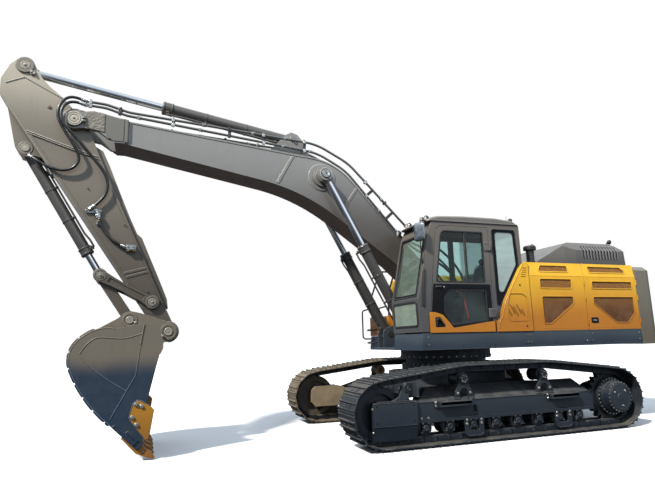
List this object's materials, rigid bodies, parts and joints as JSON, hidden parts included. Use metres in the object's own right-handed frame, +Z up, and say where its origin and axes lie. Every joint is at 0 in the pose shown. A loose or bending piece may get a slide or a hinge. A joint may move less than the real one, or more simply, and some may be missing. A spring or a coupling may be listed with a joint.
{
  "type": "crawler excavator",
  "caption": "Full-size crawler excavator: slewing cab and engine house on two tracks, with boom, arm, hydraulic cylinders, bucket linkage and toothed bucket.",
  "frame": {"origin": "on the ground below the slew axis", "axes": "+X forward towards the bucket, +Y to the left (cab side), +Z up along the slew axis"},
  "size_m": [11.1648, 3.49, 5.846],
  "materials": {
    "graphite_paint": "satin",
    "yellow_paint": "gloss",
    "orange_paint": "satin",
    "undercarriage_paint": "satin",
    "track_steel": "matt",
    "cylinder_paint": "satin",
    "chrome": "polished",
    "pin_steel": "satin",
    "bucket_paint": "satin",
    "cab_paint": "satin",
    "counterweight_paint": "satin",
    "glass": "clear",
    "seat_cloth": "woven",
    "black_plastic": "matt",
    "engine_grey": "matt",
    "hose_rubber": "matt"
  },
  "bodies": {
    "undercarriage": {"car_body": "undercarriage_paint", "track_frames": "undercarriage_paint", "left_track": "track_steel", "right_track": "track_steel", "idlers": "undercarriage_paint", "sprockets": "track_steel", "final_drives": "undercarriage_paint", "slew_ring_lower": "pin_steel", "track_rollers": "undercarriage_paint"},
    "upper_structure": {"slew_ring_upper": "undercarriage_paint", "deck_frame": "graphite_paint", "side_skirts": "graphite_paint", "upper_pins": "pin_steel", "counterweight": "counterweight_paint", "engine_block": "engine_grey", "cab_frame": "cab_paint", "cab_roof": "graphite_paint", "cab_glass": "glass", "seat_base": "black_plastic", "seat": "seat_cloth", "cab_quarter_panel": "yellow_paint", "house_frame": "graphite_paint", "house_roof": "graphite_paint", "fuel_tank": "yellow_paint", "hydraulic_tank": "yellow_paint", "toolbox": "orange_paint", "air_precleaner": "black_plastic", "handrails": "black_plastic", "mirrors": "black_plastic", "boom_foot_hoses": "hose_rubber"},
    "cab_door_leaf": {"cab_door": "cab_paint", "cab_door_glass": "glass", "cab_door_panel": "yellow_paint"},
    "front_side_door": {"left_front_door": "yellow_paint"},
    "rear_side_door": {"left_rear_door": "yellow_paint"},
    "right_side_door": {"right_rear_door": "yellow_paint"},
    "hood_lid": {"engine_hood": "graphite_paint"},
    "boom_body": {"boom": "graphite_paint", "boom_pins": "pin_steel", "boom_lines": "cylinder_paint", "boom_line_clamps": "pin_steel", "boom_tip_hoses": "hose_rubber"},
    "boom_barrels": {"boom_cylinder_barrels": "cylinder_paint"},
    "boom_rods": {"boom_cylinder_rods": "chrome"},
    "arm_body": {"arm": "graphite_paint", "arm_pins": "pin_steel", "arm_line_blocks": "pin_steel", "arm_hoses": "hose_rubber"},
    "arm_barrel": {"arm_cylinder_barrel": "cylinder_paint"},
    "arm_rod": {"arm_cylinder_rod": "chrome"},
    "bucket_body": {"bucket": "bucket_paint", "bucket_pins": "pin_steel", "bucket_teeth": "orange_paint", "side_cutters": "orange_paint", "tooth_adapters": "bucket_paint"},
    "rocker_body": {"rocker_levers": "graphite_paint"},
    "link_body": {"bucket_link": "graphite_paint"},
    "bucket_barrel": {"bucket_cylinder_barrel": "cylinder_paint"},
    "bucket_rod": {"bucket_cylinder_rod": "chrome"}
  },
  "joints": [
    {"name": "slew", "type": "hinge", "parent": "undercarriage", "child": "upper_structure", "pos_m": [0, 0, 1.2], "axis": [0, 0, 1], "continuous": true},
    {"name": "cab_door_hinge", "type": "hinge", "parent": "upper_structure", "child": "cab_door_leaf", "pos_m": [-0.034, 1.512, 2.4], "axis": [0, 0, 1], "range_deg": [0, 160]},
    {"name": "front_side_door_hinge", "type": "hinge", "parent": "upper_structure", "child": "front_side_door", "pos_m": [-1.916, 1.503, 2.1], "axis": [0, 0, 1], "range_deg": [0, 110]},
    {"name": "rear_side_door_hinge", "type": "hinge", "parent": "upper_structure", "child": "rear_side_door", "pos_m": [-3.108, 1.503, 2.1], "axis": [0, 0, 1], "range_deg": [0, 110]},
    {"name": "right_side_door_hinge", "type": "hinge", "parent": "upper_structure", "child": "right_side_door", "pos_m": [-3.108, -1.503, 2.1], "axis": [0, 0, -1], "range_deg": [0, 110]},
    {"name": "hood_hinge", "type": "hinge", "parent": "upper_structure", "child": "hood_lid", "pos_m": [-1.272, 0, 2.742], "axis": [0, 1, 0], "range_deg": [0, 50]},
    {"name": "boom_lift", "type": "hinge", "parent": "upper_structure", "child": "boom_body", "pos_m": [0.15, 0, 2.25], "axis": [0, -1, 0], "range_deg": [-62, 32], "deforming": ["boom_foot_hoses"]},
    {"name": "boom_barrel_pivot", "type": "hinge", "parent": "upper_structure", "child": "boom_barrels", "pos_m": [0.94, 0, 1.6], "axis": [0, -1, 0], "range_deg": [-70, 40]},
    {"name": "boom_rod_slide", "type": "slide", "parent": "boom_barrels", "child": "boom_rods", "axis": [0.4734, 0, 0.8808], "range_m": [-1, 0.55]},
    {"name": "arm_swing", "type": "hinge", "parent": "boom_body", "child": "arm_body", "pos_m": [6.335, 0, 4.906], "axis": [0, -1, 0], "range_deg": [-10, 108], "deforming": ["boom_tip_hoses"]},
    {"name": "arm_barrel_pivot", "type": "hinge", "parent": "boom_body", "child": "arm_barrel", "pos_m": [2.877, 0, 5.018], "axis": [0, -1, 0], "range_deg": [-12, 12]},
    {"name": "arm_rod_slide", "type": "slide", "parent": "arm_barrel", "child": "arm_rod", "axis": [0.9864, 0, 0.1643], "range_m": [-1.8, 0.2]},
    {"name": "bucket_curl", "type": "hinge", "parent": "arm_body", "child": "bucket_body", "pos_m": [4.881, 0, 1.704], "axis": [0, -1, 0], "range_deg": [-125, 11]},
    {"name": "rocker_pivot", "type": "hinge", "parent": "arm_body", "child": "rocker_body", "pos_m": [5.121, 0, 2.146], "axis": [0, -1, 0], "range_deg": [-110, 30]},
    {"name": "link_pivot", "type": "hinge", "parent": "rocker_body", "child": "link_body", "pos_m": [5.86, 0, 2.54], "axis": [0, -1, 0], "range_deg": [-30, 80]},
    {"name": "bucket_barrel_pivot", "type": "hinge", "parent": "arm_body", "child": "bucket_barrel", "pos_m": [6.984, 0, 4.437], "axis": [0, -1, 0], "range_deg": [-15, 20]},
    {"name": "bucket_rod_slide", "type": "slide", "parent": "bucket_barrel", "child": "bucket_rod", "axis": [-0.5098, 0, -0.8603], "range_m": [-0.3, 1.25]}
  ],
  "couplings": [
    {"joint": "boom_barrel_pivot", "follows": "boom_lift", "ratio": 1.03},
    {"joint": "boom_rod_slide", "follows": "boom_lift", "m_per_rad": 0.9},
    {"joint": "arm_barrel_pivot", "follows": "arm_swing", "ratio": 0.04},
    {"joint": "arm_rod_slide", "follows": "arm_swing", "m_per_rad": -0.92},
    {"joint": "rocker_pivot", "follows": "bucket_curl", "ratio": 0.78},
    {"joint": "link_pivot", "follows": "bucket_curl", "ratio": -0.48},
    {"joint": "bucket_barrel_pivot", "follows": "bucket_curl", "ratio": -0.06},
    {"joint": "bucket_rod_slide", "follows": "bucket_curl", "m_per_rad": -0.52}
  ]
}
